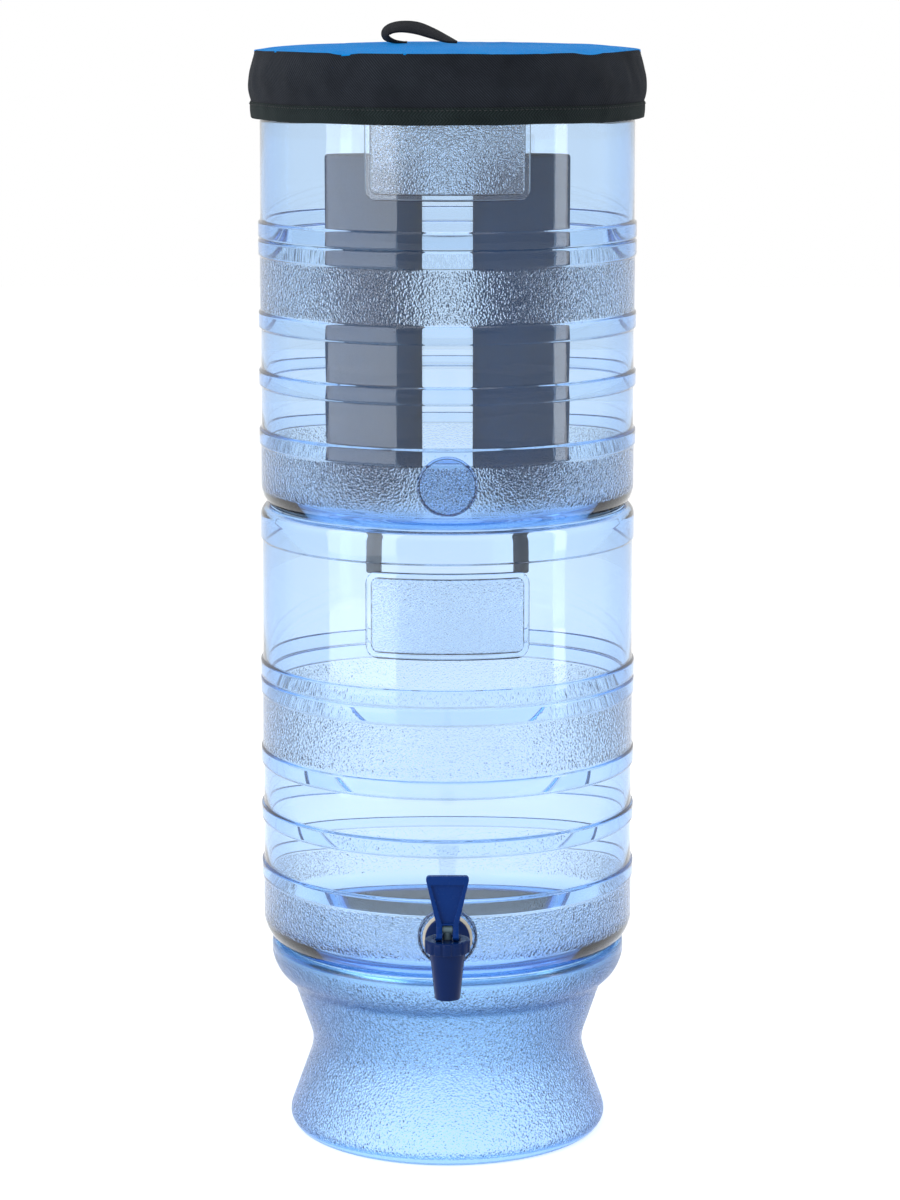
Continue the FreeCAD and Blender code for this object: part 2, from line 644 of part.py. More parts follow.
def lid_pull_loop():
    """Webbing strap with both ends sewn down, bent over to the left."""
    foot = lid_heights()[1] + TOP_T + TOP_CROWN + LOOP_T / 2
    left = -LOOP_LEFT + LOOP_T
    bend = LOOP_RISE / 2
    course = [
        Vector(-LOOP_FOOT_LEFT, 0, foot + SEAT_GAP),
        Vector(-LOOP_FOOT_LEFT - bend, 0, foot + LOOP_T / 2),
        Vector(left, 0, foot + bend),
        Vector(left + bend / 2, 0, foot + LOOP_RISE - LOOP_T),
        Vector(left + 3 * bend, 0, foot + LOOP_RISE - LOOP_T / 2),
        Vector(-LOOP_FOOT_LEFT / 3, 0, foot + bend),
        Vector(LOOP_FOOT_RIGHT - bend, 0, foot + LOOP_T),
        Vector(LOOP_FOOT_RIGHT, 0, foot + SEAT_GAP),
    ]
    curve = Part.BSplineCurve()
    curve.interpolate(course)
    line = curve.toShape().discretize(LOOP_FLATS)
    side = beside(line, LOOP_T / 2) + beside(line, -LOOP_T / 2)[::-1]
    strap = Part.Face(Part.makePolygon(side + side[:1])).extrude(Vector(0, LOOP_W, 0))
    strap.translate(Vector(0, -LOOP_W / 2, 0))
    return strap


def write(name, shape):
    if len(shape.Solids) == 1:
        shape = shape.Solids[0]
    print(name, len(shape.Solids), "solid,", round(shape.Volume / 1000, 2), "cm3, valid", shape.isValid())
    shape.exportStep(os.path.join("parts", name + ".step"))


os.makedirs("parts", exist_ok=True)

write("base_stand", base_stand())
write("lower_chamber", chamber(LOWER_Z, hole_r=SHANK_R + SEAT_GAP))
write("upper_chamber", chamber(UPPER_Z, stem_holes=(-ELEMENT_OFFSET, ELEMENT_OFFSET)))

for side, sign in (("left", -1), ("right", 1)):
    centre_x = sign * ELEMENT_OFFSET
    write("filter_element_" + side, filter_element(centre_x))
    write("filter_end_cap_" + side, filter_end_cap(centre_x))
    write("filter_washer_" + side, filter_washer(centre_x))
    write("wing_nut_" + side, wing_nut(centre_x))

write("tap_body", tap_body())
write("tap_bonnet", tap_bonnet())
write("tap_outer_washer", tap_outer_washer())
write("tap_inner_washer", tap_inner_washer())
write("tap_lock_nut", tap_lock_nut())
write("tap_plunger_stem", tap_plunger_stem())
write("tap_seat_cup", tap_seat_cup())
write("tap_pivot_pin", tap_pivot_pin())
write("tap_lever", tap_lever())

write("lid_foam_insert", lid_foam_insert())
write("lid_top_panel", lid_top_panel())
write("lid_skirt", lid_skirt())
write("lid_hem_binding", lid_hem_binding())
write("lid_elastic", lid_elastic())
write("lid_pull_loop", lid_pull_loop())
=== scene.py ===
import math

import bmesh
import bpy
from mathutils import Matrix, Vector, noise


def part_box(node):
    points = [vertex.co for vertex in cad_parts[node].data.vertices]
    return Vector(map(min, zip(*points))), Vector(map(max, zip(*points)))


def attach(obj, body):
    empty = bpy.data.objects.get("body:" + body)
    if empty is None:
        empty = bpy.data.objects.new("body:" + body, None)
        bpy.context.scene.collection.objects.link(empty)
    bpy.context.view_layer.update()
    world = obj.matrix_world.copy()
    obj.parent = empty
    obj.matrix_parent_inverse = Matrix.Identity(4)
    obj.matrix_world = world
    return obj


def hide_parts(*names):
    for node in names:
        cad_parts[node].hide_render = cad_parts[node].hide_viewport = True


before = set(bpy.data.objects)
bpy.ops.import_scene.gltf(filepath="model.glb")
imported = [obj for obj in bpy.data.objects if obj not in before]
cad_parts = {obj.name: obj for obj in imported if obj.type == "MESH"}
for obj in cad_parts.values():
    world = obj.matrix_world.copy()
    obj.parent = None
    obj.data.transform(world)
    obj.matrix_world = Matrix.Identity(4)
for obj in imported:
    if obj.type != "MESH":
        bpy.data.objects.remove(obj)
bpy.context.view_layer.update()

# The base: a hollow waisted ring of translucent blue plastic, moulded in one piece.
# Its whole outside is finely grained apart from a smooth band round the foot, and the
# lower chamber's rounded corner sits in its open top.

MM = 0.001
ROUND_STEPS = 256
CORNER_SHARE = 0.49


def rounded(points, cuts=4):
    """Outline whose corners are cut by arcs. A point is (r, z) or (r, z, corner radius), and an
    arc takes up to CORNER_SHARE of each side."""
    outline = []
    for index, point in enumerate(points):
        here = Vector(point[:2])
        reach = point[2] if len(point) > 2 else 0
        if not reach or index in (0, len(points) - 1):
            outline.append(here)
            continue
        before = Vector(points[index - 1][:2]) - here
        after = Vector(points[index + 1][:2]) - here
        start = here + before.normalized() * min(reach, before.length * CORNER_SHARE)
        end = here + after.normalized() * min(reach, after.length * CORNER_SHARE)
        for cut in range(cuts + 1):
            t = cut / cuts
            outline.append(start * (1 - t) ** 2 + here * 2 * t * (1 - t) + end * t ** 2)
    return outline


def finish_mesh(name, made, smooth=True):
    """Object in the scene, made from a bmesh with all its faces turned outward."""
    mesh = bpy.data.meshes.new(name)
    bmesh.ops.recalc_face_normals(made, faces=made.faces)
    made.to_mesh(mesh)
    made.free()
    for face in mesh.polygons:
        face.use_smooth = smooth
    piece = bpy.data.objects.new(name, mesh)
    bpy.context.scene.collection.objects.link(piece)
    return piece


def lathe(name, outline, steps=ROUND_STEPS, closed=False, shape=None):
    """Turned form about Z, whose middle of a flat faces front. Ends at r = 0 close on the axis;
    closed joins the last point to the first. UVs run along the turn and up the outline, in
    metres. shape(angle, r, z) may move a point."""
    made = bmesh.new()
    uv = made.loops.layers.uv.new("cloth")
    rows = []
    for r, z in outline:
        if r < 1e-6:
            place = shape(0.0, 0.0, z) if shape else (0, 0, z)
            rows.append([made.verts.new([v * MM for v in place])])
            continue
        row = []
        for step in range(steps):
            angle = 2 * math.pi * (step + 0.5) / steps
            place = (r * math.cos(angle), r * math.sin(angle), z)
            if shape:
                place = shape(angle, r, z)
            row.append(made.verts.new([v * MM for v in place]))
        rows.append(row)
    run = [0.0]
    for a, b in zip(outline, list(outline)[1:] + [outline[0]]):
        run.append(run[-1] + (Vector(b[:2]) - Vector(a[:2])).length * MM)
    widest = max(r for r, z in outline) * MM
    pairs = len(rows) if closed else len(rows) - 1
    for index in range(pairs):
        low, high = rows[index], rows[(index + 1) % len(rows)]
        for step in range(steps):
            after = (step + 1) % steps
            corners = [
                (low, step, index), (low, after, index), (high, after, index + 1), (high, step, index + 1),
            ]
            corners = [(row, s if len(row) > 1 else 0, level) for row, s, level in corners]
            verts = []
            places = []
            for (row, s, level), turn in zip(corners, (step, step + 1, step + 1, step)):
                if row[s] not in verts:
                    verts.append(row[s])
                    places.append((2 * math.pi * turn / steps * widest, run[level]))
            if len(verts) < 3:
                continue
            face = made.faces.new(verts)
            for loop, place in zip(face.loops, places):
                loop[uv].uv = place
    return finish_mesh(name, made)


def new_group(name, inputs, outputs):
    """Empty shader node group with its sockets and its two end nodes."""
    group = bpy.data.node_groups.new(name, "ShaderNodeTree")
    for label, kind, value in inputs:
        socket = group.interface.new_socket(name=label, in_out="INPUT", socket_type=kind)
        socket.default_value = value
    for label, kind in outputs:
        group.interface.new_socket(name=label, in_out="OUTPUT", socket_type=kind)
    return group, group.nodes.new("NodeGroupInput"), group.nodes.new("NodeGroupOutput")


def make_node(tree, kind, inputs=None, **settings):
    """One node, with its settings and the values or sockets given for its inputs."""
    node = tree.nodes.new(kind)
    for key, value in settings.items():
        setattr(node, key, value)
    for key, value in (inputs or {}).items():
        if isinstance(value, bpy.types.NodeSocket):
            tree.links.new(value, node.inputs[key])
        else:
            node.inputs[key].default_value = value
    return node


def maths(tree, operation, *values):
    """Output of one Math node. Each value is a number or a socket."""
    return make_node(tree, "ShaderNodeMath", dict(enumerate(values)), operation=operation).outputs[0]


def ranged(tree, value, start, end, low=0.0, high=1.0, **settings):
    """value carried from start..end over to low..high."""
    inputs = {"Value": value, "From Min": start, "From Max": end, "To Min": low, "To Max": high}
    return make_node(tree, "ShaderNodeMapRange", inputs, **settings).outputs["Result"]


def noise_of(tree, place, scale, detail, roughness=0.5):
    """Noise between 0 and 1 at place. detail is its number of finer layers."""
    inputs = {"Vector": place, "Scale": scale, "Detail": detail, "Roughness": roughness}
    return make_node(tree, "ShaderNodeTexNoise", inputs).outputs["Fac"]


def blend_colours(tree, share, first, second, kind="MIX"):
    """Colour between first and second. Each input is a value or a socket."""
    inputs = {0: share, 6: first, 7: second}
    return make_node(tree, "ShaderNodeMix", inputs, data_type="RGBA", blend_type=kind).outputs[2]


BAND_FADE = 0.0012


def pebble_group():
    """Moulded pebble grain between two heights, in metres, with a soft edge to each band."""
    number = "NodeSocketFloat"
    given_values = [("Scale", number, 400.0), ("Low", number, 0.0), ("High", number, 1.0)]
    group, given, out = new_group("pebble_grain", given_values, [("Height", number)])
    place = make_node(group, "ShaderNodeTexCoord").outputs["Object"]
    scale = given.outputs["Scale"]
    fine = noise_of(group, place, scale, 1.5, 0.45)
    cells = make_node(group, "ShaderNodeTexVoronoi", {"Vector": place, "Scale": scale}, feature="SMOOTH_F1")
    grain = maths(group, "SUBTRACT", fine, cells.outputs["Distance"])
    z = make_node(group, "ShaderNodeSeparateXYZ", {0: place}).outputs["Z"]
    past_low = maths(group, "SUBTRACT", z, given.outputs["Low"])
    past_high = maths(group, "SUBTRACT", z, given.outputs["High"])
    above = ranged(group, past_low, -BAND_FADE, BAND_FADE, interpolation_type="SMOOTHSTEP")
    below = ranged(group, past_high, BAND_FADE, -BAND_FADE, interpolation_type="SMOOTHSTEP")
    band = maths(group, "MULTIPLY", above, below)
    group.links.new(maths(group, "MULTIPLY", grain, band), out.inputs["Height"])
    return group


PEBBLE = pebble_group()


def new_material(name):
    """Empty material, with its node tree and its output node."""
    material = bpy.data.materials.new(name)
    material.use_nodes = True
    tree = material.node_tree
    tree.nodes.clear()
    out = tree.nodes.new("ShaderNodeOutputMaterial")
    return material, tree, out


def clear_blue(name, tint, edge, bands, scale, depth, absorb, haze=0.02):
    """Clear moulded plastic. It is tinted through its thickness, and more so where it is seen
    edge on, lets the lamps' light through, and has pebble grain in each band of height.
    absorb is how strongly it takes away red, green and blue, per metre."""
    material, tree, out = new_material(name)
    heights = []
    for low, high in bands:
        values = {"Scale": scale, "Low": low, "High": high}
        heights.append(make_node(tree, "ShaderNodeGroup", values, node_tree=PEBBLE).outputs["Height"])
    grain = heights[0]
    for height in heights[1:]:
        grain = maths(tree, "ADD", grain, height)
    place = make_node(tree, "ShaderNodeTexCoord").outputs["Object"]
    flow = noise_of(tree, place, 9.0, 1.0)
    waves = make_node(tree, "ShaderNodeBump", {"Strength": 0.25, "Distance": 0.0008, "Height": flow})
    bump = make_node(
        tree,
        "ShaderNodeBump",
        {"Strength": 1.0, "Distance": depth, "Height": grain, "Normal": waves.outputs["Normal"]},
    )
    facing = make_node(tree, "ShaderNodeLayerWeight", {"Blend": 0.5}).outputs["Facing"]
    turned_away = ranged(tree, facing, 0.45, 0.95)
    tinted = blend_colours(tree, turned_away, (*tint, 1), (*edge, 1))
    shade = ranged(tree, flow, 0.0, 1.0, 0.94, 1.0)
    body = make_node(
        tree,
        "ShaderNodeBsdfPrincipled",
        {
            "Base Color": blend_colours(tree, 1.0, tinted, shade, "MULTIPLY"),
            "Metallic": 0.0,
            "Transmission Weight": 1.0,
            "Roughness": haze,
            "IOR": 1.5,
            "Normal": bump.outputs["Normal"],
        },
    )
    through = make_node(tree, "ShaderNodeBsdfTransparent", {"Color": (0.86, 0.93, 1.0, 1)})
    rays = make_node(tree, "ShaderNodeLightPath")
    mix = make_node(
        tree,
        "ShaderNodeMixShader",
        {0: rays.outputs["Is Shadow Ray"], 1: body.outputs[0], 2: through.outputs[0]},
    )
    tree.links.new(mix.outputs[0], out.inputs["Surface"])
    strongest = max(absorb)
    left_over = [1 - value / strongest for value in absorb]
    fog = make_node(tree, "ShaderNodeVolumeAbsorption", {"Color": (*left_over, 1), "Density": strongest})
    tree.links.new(fog.outputs[0], out.inputs["Volume"])
    return material


def dress(piece, material):
    """Gives the piece one material in place of any it had."""
    piece.data.materials.clear()
    piece.data.materials.append(material)
    return piece


# Half section: up the outside, over the top edge and down the inside, back to the foot.
BASE_OUTLINE = [
    (91.0, 0, 0.8), (97.0, 0, 3.0), (101.4, 7.0, 5.0), (84.6, 54.0, 9.0), (98.2, 93.5, 2.0),
    (101.0, 96.6, 2.5), (107.8, 102.4, 5.0), (112.0, 111.5, 6.0), (112.0, 121.6, 3.4),
    (106.0, 121.6, 0.6), (106.0, 118.4, 0.6), (109.0, 118.4, 2.0), (108.8, 111.5, 4.0),
    (104.6, 104.0, 4.0), (95.2, 96.5, 3.0), (81.6, 54.0, 9.0), (98.4, 7.5, 3.0), (91.0, 0, 0.8),
]
base_plastic = clear_blue(
    "grained_base_plastic",
    tint=(0.84, 0.92, 1.0),
    edge=(0.30, 0.60, 0.95),
    bands=[(0.0055, 0.116)],
    scale=900,
    depth=0.0006,
    absorb=(135, 58, 8),
    haze=0.16,
)
base = lathe("base_stand_moulding", rounded(BASE_OUTLINE)[:-1], closed=True)
dress(base, base_plastic)
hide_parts("base_stand")
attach(base, "base")

# The two chambers: one blow-moulded vessel used twice, in clear blue polycarbonate.
# Five hoops stiffen the wall, two bands of it are grained, and the rounded foot of one sits
# inside the rim of the next. A smooth tap pad and a bare panel are moulded on the front.

LOWER_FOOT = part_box("lower_chamber")[0].z / MM
UPPER_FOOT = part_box("upper_chamber")[0].z / MM
WALL_R = 116.5
INNER_R = 113.9
HOOP_R = 118.0
BAND_R = 116.9
RIM_R = 117.5
FOOT_R = 99.4
CORNER_R = 17.5
INNER_FLOOR_R = 98.0
INNER_CORNER_R = 15.9
FLOOR_UNDER = 2.2
FLOOR_TOP = 5.2
GRAINED = [(15.0, 41.6), (127.6, 159.6)]
GRAINED_PANEL = [(200, 255)]
PAD_Z = 30.9
PAD_FACE = 118.9
PAD_R = 18.3
PANEL_Z = 227.3
PANEL_SLOPE = 2.4
PANEL_SUNK = 0.2
PANEL_ROOT = 1.0


def hoop_outline(low, high, before, after):
    """One raised hoop, on a wall of radius before below it and after above it."""
    return [(before, low, 0.5), (HOOP_R, low + 1.0, 0.8), (HOOP_R, high - 1.0, 0.8), (after, high, 0.5)]


def quarter(x, z, r, shares):
    """Points on a quarter circle about (x, z), from its lowest point at 0 to its outermost at 1."""
    turns = [math.pi / 2 * share for share in shares]
    return [(x + r * math.sin(turn), z - r * math.cos(turn)) for turn in turns]


def chamber_outline():
    """Half section of one chamber, from the middle of its underside round to its floor."""
    corner = quarter(FOOT_R, CORNER_R, CORNER_R, [i / 12 for i in range(1, 12)])
    inner_z = FLOOR_TOP + INNER_CORNER_R
    inside = quarter(INNER_FLOOR_R, inner_z, INNER_CORNER_R, [1 - i / 10 for i in range(0, 10)])
    points = [(0, FLOOR_UNDER), (92.2, FLOOR_UNDER, 1.5), (94.6, 0, 1.0), (FOOT_R, 0)]
    points += [*corner, (BAND_R, CORNER_R)]
    points += hoop_outline(42.3, 53.3, BAND_R, WALL_R)
    points += hoop_outline(79.3, 90.3, WALL_R, WALL_R)
    points += hoop_outline(115.3, 126.8, WALL_R, BAND_R)
    points += hoop_outline(160.3, 171.4, BAND_R, WALL_R + 0.4)[:-1]
    points += [(WALL_R + 0.4, 171.4, 0.3)]
    points += hoop_outline(171.4, 182.8, BAND_R, WALL_R)[1:]
    points += [(WALL_R, 258.6, 0.5), (RIM_R, 259.6, 0.5), (RIM_R, 275.3, 3.0), (115.6, 278.9, 2.0)]
    points += [(113.0, 279.8, 1.5), (111.2, 279.8, 0.5), (111.2, 277.4, 0.6), (INNER_R, 276.4, 2.0)]
    points += [(INNER_R, 22.0), *inside, (INNER_FLOOR_R, FLOOR_TOP), (0, FLOOR_TOP)]
    return rounded(points)


def turned_to_front(piece, y, z):
    """Lays a form that was turned about Z along Y, facing forward, and applies the move."""
    piece.data.transform(Matrix.Translation((0, y * MM, z * MM)) @ Matrix.Rotation(math.pi / 2, 4, "X"))


def tap_pad(name, foot):
    """Clear disc moulded through the wall, with a fine ring round its flat face."""
    points = [
        (0, -6.2), (16.8, -6.2, 0.6), (PAD_R - 0.6, -4.6, 0.5), (PAD_R, -0.9, 0.8), (PAD_R - 0.9, 0, 0.6),
        (16.9, 0, 0.2), (16.5, -0.45, 0.2), (16.0, 0, 0.2), (0, 0),
    ]
    pad = lathe(name, rounded(points, 3), 96)
    turned_to_front(pad, -PAD_FACE, foot + PAD_Z)
    return pad


def panel_on_wall(name, foot, width, height, proud, corner):
    """Curved plate with round corners. Its face stands proud of the wall and slopes to it."""
    made = bmesh.new()
    across, up = 72, 36
    half_w, half_h = width / 2, height / 2
    layers = []
    for is_back in (False, True):
        grid = []
        for row in range(up + 1):
            line = []
            for step in range(across + 1):
                u = (step / across * 2 - 1) * half_w
                v = (row / up * 2 - 1) * half_h
                over = Vector((abs(u) - half_w + corner, abs(v) - half_h + corner))
                if over.x > 0 and over.y > 0 and over.length > corner:
                    over = over.normalized() * corner
                    u = math.copysign(half_w - corner + over.x, u)
                    v = math.copysign(half_h - corner + over.y, v)
                edge = min(half_w - abs(u), half_h - abs(v))
                rise = min(1.0, edge / PANEL_SLOPE)
                face_r = WALL_R - PANEL_SUNK + (proud + PANEL_SUNK) * rise * (2 - rise)
                r = WALL_R - PANEL_ROOT if is_back else face_r
                angle = u / WALL_R
                place = (r * math.sin(angle), -r * math.cos(angle), foot + PANEL_Z + v)
                line.append(made.verts.new([value * MM for value in place]))
            grid.append(line)
        layers.append(grid)
    for grid in layers:
        for a, b in zip(grid, grid[1:]):
            for s in range(across):
                made.faces.new((a[s], a[s + 1], b[s + 1], b[s]))
    front, back = layers
    rim = [(0, s) for s in range(across)] + [(r, across) for r in range(up)]
    rim += [(up, s) for s in range(across, 0, -1)] + [(r, 0) for r in range(up, 0, -1)]
    for (r0, s0), (r1, s1) in zip(rim, rim[1:] + rim[:1]):
        made.faces.new((front[r0][s0], front[r1][s1], back[r1][s1], back[r0][s0]))
    return finish_mesh(name, made)


def chamber_plastic(name, bands, scale, depth):
    """The chambers' clear blue, which the panels share with a finer grain."""
    tint, edge, absorb = (0.96, 0.98, 1.0), (0.45, 0.68, 0.95), (92, 46, 5)
    return clear_blue(name, tint, edge, bands, scale, depth, absorb)


for label, foot, body in (("lower", LOWER_FOOT, "lower_vessel"), ("upper", UPPER_FOOT, "upper_vessel")):
    bands = [((foot + low) * MM, (foot + high) * MM) for low, high in GRAINED]
    plastic = chamber_plastic(label + "_chamber_plastic", bands, 800, 0.0005)
    panel_band = [((foot + low) * MM, (foot + high) * MM) for low, high in GRAINED_PANEL]
    all_grain = chamber_plastic(label + "_panel_plastic", panel_band, 900, 0.0003)
    vessel = lathe(label + "_chamber_moulding", [(r, z + foot) for r, z in chamber_outline()])
    pad = tap_pad(label + "_tap_pad", foot)
    border = panel_on_wall(label + "_panel_border", foot, width=102.0, height=53.0, proud=0.1, corner=8.0)
    panel = panel_on_wall(label + "_bare_panel", foot, width=95.0, height=46.0, proud=0.35, corner=5.0)
    for piece, material in ((vessel, plastic), (pad, plastic), (border, plastic), (panel, all_grain)):
        dress(piece, material)
        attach(piece, body)
    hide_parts(label + "_chamber")

# The filter elements: two moulded carbon cylinders standing in the upper chamber.
# Each has a dark end cap whose threaded stem passes through the floor, with a rubber washer
# above the floor and a wing nut below it.

ELEMENT_LOW, ELEMENT_HIGH = [corner.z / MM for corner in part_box("filter_element_left")]
ELEMENT_R = 30.3
ELEMENT_X = 46.1


def matte(name, colour, other, scale, rough, depth, gloss=0.4):
    """Opaque finish, mottled between two colours and about a roughness, with a fine bump of the
    given depth in metres. gloss is the strength of its reflections."""
    material, tree, out = new_material(name)
    place = make_node(tree, "ShaderNodeTexCoord").outputs["Object"]
    mottle = noise_of(tree, place, scale, 5.0, 0.6)
    fine = noise_of(tree, place, scale * 9, 3.0)
    bump = make_node(tree, "ShaderNodeBump", {"Strength": 0.5, "Distance": depth, "Height": fine})
    body = make_node(
        tree,
        "ShaderNodeBsdfPrincipled",
        {
            "Base Color": blend_colours(tree, mottle, (*colour, 1), (*other, 1)),
            "Roughness": ranged(tree, fine, 0.0, 1.0, rough - 0.06, rough + 0.08),
            "Metallic": 0.0,
            "Specular IOR Level": gloss,
            "Normal": bump.outputs["Normal"],
        },
    )
    tree.links.new(body.outputs[0], out.inputs["Surface"])
    return material


carbon = matte("carbon_block", (0.002, 0.022, 0.056), (0.004, 0.034, 0.080), 60, 0.7, 0.0002, gloss=0.05)
dark_plastic = matte(
    "dark_cap_plastic", (0.008, 0.010, 0.014), (0.016, 0.020, 0.026), 90, 0.42, 0.00008, gloss=0.3
)
rubber = matte("black_washer_rubber", (0.016, 0.016, 0.017), (0.028, 0.028, 0.030), 120, 0.6, 0.0001)

for side, sign in (("left", -1), ("right", 1)):
    points = [
        (0, ELEMENT_LOW), (ELEMENT_R, ELEMENT_LOW, 0.6), (ELEMENT_R, ELEMENT_HIGH, 2.6), (0, ELEMENT_HIGH),
    ]
    element = lathe("filter_element_body_" + side, rounded(points, 6), 128)
    element.data.transform(Matrix.Translation((sign * ELEMENT_X * MM, 0, 0)))
    dress(element, carbon)
    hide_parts("filter_element_" + side)
    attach(element, "upper_vessel")
    dress(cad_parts["filter_end_cap_" + side], dark_plastic)
    dress(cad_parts["wing_nut_" + side], dark_plastic)
    dress(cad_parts["filter_washer_" + side], rubber)

# The tap: navy moulded plastic, self-closing. The body and spout are one moulding, the
# fluted bonnet screws on top, and the lever's cam feet lift the grey stem when it is pulled.
# Cream silicone washers seal the shank on both sides of the wall, and a nut inside holds it.


def softened(node, name, width, body, material):
    """Copy of a hard-edged piece with small rounded edges, which then stands for it."""
    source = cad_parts[node]
    made = bmesh.new()
    made.from_mesh(source.data)
    bmesh.ops.remove_doubles(made, verts=made.verts, dist=0.00001)
    bmesh.ops.dissolve_limit(made, angle_limit=math.radians(1.0), verts=made.verts, edges=made.edges)
    piece = finish_mesh(name, made)
    edge = piece.modifiers.new("edge", "BEVEL")
    edge.width = width * MM
    edge.segments = 3
    edge.limit_method = "ANGLE"
    edge.angle_limit = math.radians(35)
    edge.harden_normals = True
    dress(piece, material)
    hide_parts(node)
    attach(piece, body)
    return piece


navy = matte("navy_tap_plastic", (0.001, 0.014, 0.085), (0.002, 0.019, 0.105), 45, 0.2, 0.00004, gloss=0.1)
# The lever's navy is a brighter copy of the body's navy, standing for the light falling on the paddle's
# face: painted light.
painted_lit_navy_lever = matte(
    "navy_lever_plastic", (0.001, 0.028, 0.170), (0.002, 0.034, 0.200), 45, 0.25, 0.00004, gloss=0.1
)
cream = matte("cream_silicone", (0.80, 0.74, 0.60), (0.88, 0.82, 0.68), 70, 0.42, 0.0001)
teal = matte("grey_stem_plastic", (0.10, 0.17, 0.20), (0.16, 0.24, 0.28), 90, 0.38, 0.00006)
steel = matte("stainless_pin", (0.42, 0.43, 0.45), (0.52, 0.53, 0.55), 200, 0.3, 0.00004)

softened("tap_lever", "lever_paddle", 0.5, "tap_handle", painted_lit_navy_lever)

TAP_Y = (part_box("tap_pivot_pin")[0].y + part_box("tap_pivot_pin")[1].y) / 2 / MM
SPOUT_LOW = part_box("tap_body")[0].z / MM
BONNET_LOW, BONNET_TOP = [corner.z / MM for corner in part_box("tap_bonnet")]
SHANK_Z = LOWER_FOOT + PAD_Z
FLANGE_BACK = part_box("tap_outer_washer")[0].y / MM
FLUTES = 14
FLUTE_DEPTH = 0.7
BONNET_R = 13.7
BONNET_BORE = 11.1
BARREL_R = 11.0
WATER_R = 5.2


def at_valve(piece):
    """Moves a form that was turned about Z to stand round the valve."""
    piece.data.transform(Matrix.Translation((0, TAP_Y * MM, 0)))
    return piece


def flute_point(angle, r, z):
    """Shallow upright flutes round the bonnet's side."""
    side = max(0.0, min(1.0, (r - 12.9) / 0.4)) * max(0.0, math.cos(FLUTES * angle)) ** 2
    reach = r - FLUTE_DEPTH * side
    return (reach * math.cos(angle), reach * math.sin(angle), z)


spout_points = [
    (WATER_R, SPOUT_LOW + 12.0), (WATER_R, SPOUT_LOW, 0.4), (7.6, SPOUT_LOW, 0.7),
    (9.6, SPOUT_LOW + 19.5, 3.0), (BARREL_R, BONNET_LOW, 0.6), (BARREL_R, BONNET_LOW + 4.0),
    (8.0, BONNET_LOW + 4.0), (8.0, SPOUT_LOW + 15.0), (WATER_R, SPOUT_LOW + 12.0),
]
barrel = at_valve(lathe("tap_barrel_and_spout", rounded(spout_points, 3)[:-1], 96, closed=True))
bonnet_points = [
    (2.7, BONNET_TOP), (12.6, BONNET_TOP, 0.5), (BONNET_R, BONNET_TOP - 1.0, 0.6),
    (BONNET_R, BONNET_LOW, 0.5), (BONNET_BORE, BONNET_LOW, 0.3), (BONNET_BORE, BONNET_TOP - 2.5, 0.2),
    (2.7, BONNET_TOP - 2.5), (2.7, BONNET_TOP),
]
bonnet_outline = rounded(bonnet_points, 3)[:-1]
bonnet = at_valve(lathe("tap_bonnet_cap", bonnet_outline, 252, closed=True, shape=flute_point))
flange_points = [(0, -3.0), (13.6, -3.0, 0.9), (13.6, 0, 0.3), (7.9, 0), (7.9, 22.2, 0.8), (0, 22.2)]
flange = lathe("tap_flange_and_shank", [(r, -h) for r, h in rounded(flange_points, 3)], 96)
turned_to_front(flange, FLANGE_BACK, SHANK_Z)
ARM_R = 6.4
ARM_ROOT = FLANGE_BACK - 1.0
arm_length = ARM_ROOT - (TAP_Y + 9.0)
arm = lathe("tap_arm", [(0, 0), (ARM_R, 0), (ARM_R, arm_length), (0, arm_length)], 64)
turned_to_front(arm, ARM_ROOT, SHANK_Z - 3.2)
for piece in (barrel, bonnet, flange, arm):
    dress(piece, navy)
    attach(piece, "lower_vessel")
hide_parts("tap_body")
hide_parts("tap_bonnet")
for node, material in (
    ("tap_lock_nut", navy),
    ("tap_outer_washer", cream),
    ("tap_inner_washer", cream),
    ("tap_seat_cup", cream),
    ("tap_plunger_stem", teal),
    ("tap_pivot_pin", steel),
):
    dress(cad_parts[node], material)

# The lid: a soft cap of blue coated cloth with a black twill skirt over a foam disc.
# The skirt's hem is bound with herringbone tape and drawn in by an elastic, and a webbing
# loop is sewn to the top to pull it off.

FOAM_LOW, FOAM_TOP = [corner.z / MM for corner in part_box("lid_foam_insert")]
HEM_LOW, HEM_TOP = [corner.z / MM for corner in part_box("lid_hem_binding")]
SEAM_R = 119.4
CLOTH_T = 0.7
HEM_INNER_R = 119.6
HEM_OUTER_R = 122.5
SKIRT_LOW_R = 121.4
SKIRT_BULGE = 2.6
LID_STEPS = 360


def ripple(angle, turns, seed):
    """Smooth random wave round the lid, from -1 to 1, the same after a full turn."""
    place = Vector((math.cos(angle) * turns, math.sin(angle) * turns, seed))
    return noise.noise(place)


def seam_height(angle):
    """The sewn seam wanders up and down where the cloth gathers."""
    gather = max(0.0, ripple(angle, 5.0, 7.0) - 0.12) * 4.0
    return FOAM_TOP + 0.6 + 0.9 * ripple(angle, 2.4, 3.0) - gather


def seam_radius(angle):
    """The seam also wanders in and out a little."""
    return SEAM_R + 0.5 * ripple(angle, 4.0, 11.0)


def top_point(angle, r, z):
    """Blue top: nearly flat over the foam, with pleats that grow towards the seam."""
    share = r / SEAM_R
    edge = share ** 9
    pleats = 1.3 * ripple(angle, 9.0, 1.0) + 0.8 * ripple(angle, 19.0, 4.0)
    bumps = 0.9 * noise.noise(Vector((r * math.cos(angle) / 34, r * math.sin(angle) / 34, 2.0)))
    lift = 1.9 * (1 - share ** 2) + bumps * (1 - edge) + pleats * share ** 6 * (1 - share ** 40)
    middle = FOAM_TOP + 2.4 + lift
    height = middle * (1 - edge) + seam_height(angle) * edge
    reach = r + (seam_radius(angle) - SEAM_R) * edge
    return (reach * math.cos(angle), reach * math.sin(angle), height + z)


